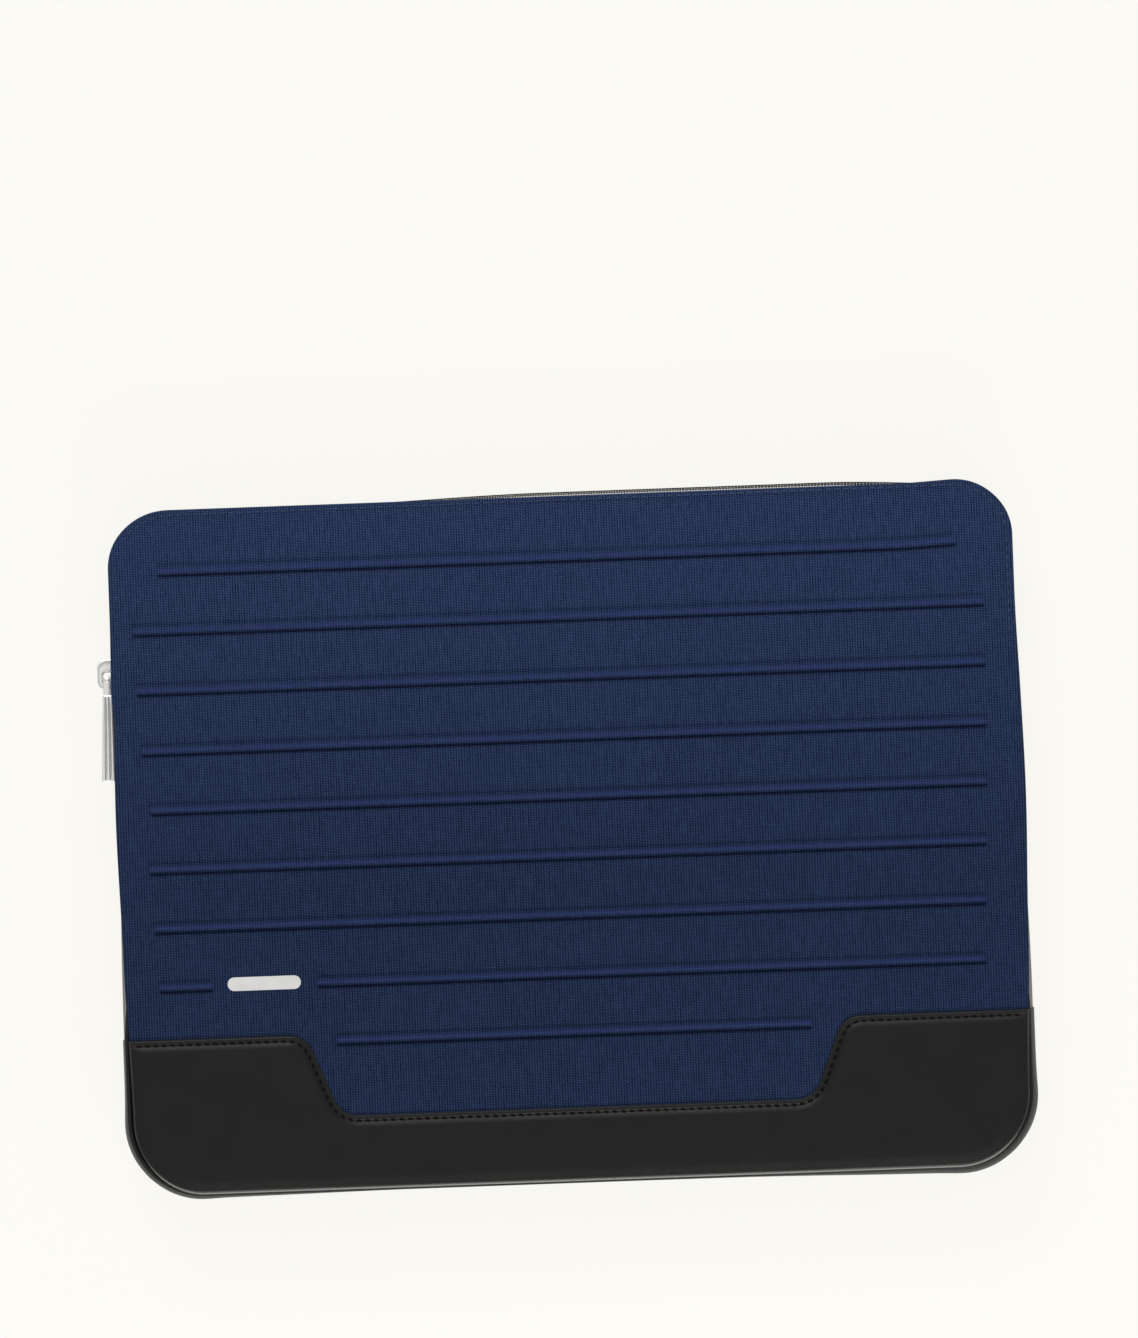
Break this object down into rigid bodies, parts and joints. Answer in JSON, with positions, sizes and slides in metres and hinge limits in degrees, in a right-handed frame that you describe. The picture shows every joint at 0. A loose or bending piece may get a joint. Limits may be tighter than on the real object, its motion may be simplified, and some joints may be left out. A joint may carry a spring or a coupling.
{
  "type": "laptop sleeve",
  "caption": "Slim padded sleeve with raised ribs on its canvas face, a stepped leather bottom trim, and a zip round the mouth whose upper front panel folds open.",
  "frame": {"origin": "centre of the back face, which lies on the surface the sleeve rests on", "axes": "+X across the sleeve to the zip's far end, +Y from the bottom edge to the mouth, +Z from the back face to the front face"},
  "size_m": [0.3796, 0.2832, 0.0274],
  "materials": {
    "canvas": "plain woven navy canvas, matte",
    "leather": "smooth black leather, soft sheen",
    "foam": "closed-cell foam, grey",
    "lining": "brushed dark lining",
    "gusset": "woven grey webbing",
    "piping": "black piping",
    "tape": "grey woven zip tape",
    "coil": "black moulded coil",
    "metal": "polished nickel",
    "plate": "satin, blank"
  },
  "bodies": {
    "sleeve": {"back_canvas": "canvas", "back_leather_trim": "leather", "back_foam": "foam", "back_lining": "lining", "front_canvas_lower": "canvas", "front_leather_trim": "leather", "front_foam_lower": "foam", "front_lining_lower": "lining", "rib_3": "canvas", "rib_4": "canvas", "rib_5": "canvas", "rib_6": "canvas", "rib_7": "canvas", "rib_8": "canvas", "rib_8_stub": "canvas", "rib_9": "canvas", "blank_plate": "plate", "side_gusset_left": "gusset", "side_gusset_right": "gusset", "bottom_gusset": "leather", "gusset_lining": "lining", "back_piping": "piping", "front_piping": "piping", "zip_tape_back": "tape", "zip_tape_front_end_left": "tape", "zip_tape_front_end_right": "tape", "zip_coil_back": "coil", "zip_top_stop_back": "metal", "zip_top_stop_front": "metal", "zip_bottom_stop": "metal"},
    "mouth_flap": {"front_canvas_upper": "canvas", "front_foam_upper": "foam", "front_lining_upper": "lining", "zip_tape_front": "tape", "zip_coil_front": "coil", "rib_1": "canvas", "rib_2": "canvas"},
    "slider": {"zip_slider": "metal"},
    "puller": {"zip_puller": "metal"}
  },
  "joints": [
    {"name": "mouth_fold", "type": "hinge", "parent": "sleeve", "child": "mouth_flap", "pos_m": [0, 0.0815, 0.026], "axis": [1, 0, 0], "range_deg": [0, 50]},
    {"name": "slider_travel", "type": "slide", "parent": "sleeve", "child": "slider", "axis": [0, 1, 0], "range_m": [0, 0.034]},
    {"name": "puller_swing", "type": "hinge", "parent": "slider", "child": "puller", "pos_m": [-0.1883, 0.0717, 0.013], "axis": [0, 0, -1], "range_deg": [0, 120]}
  ]
}
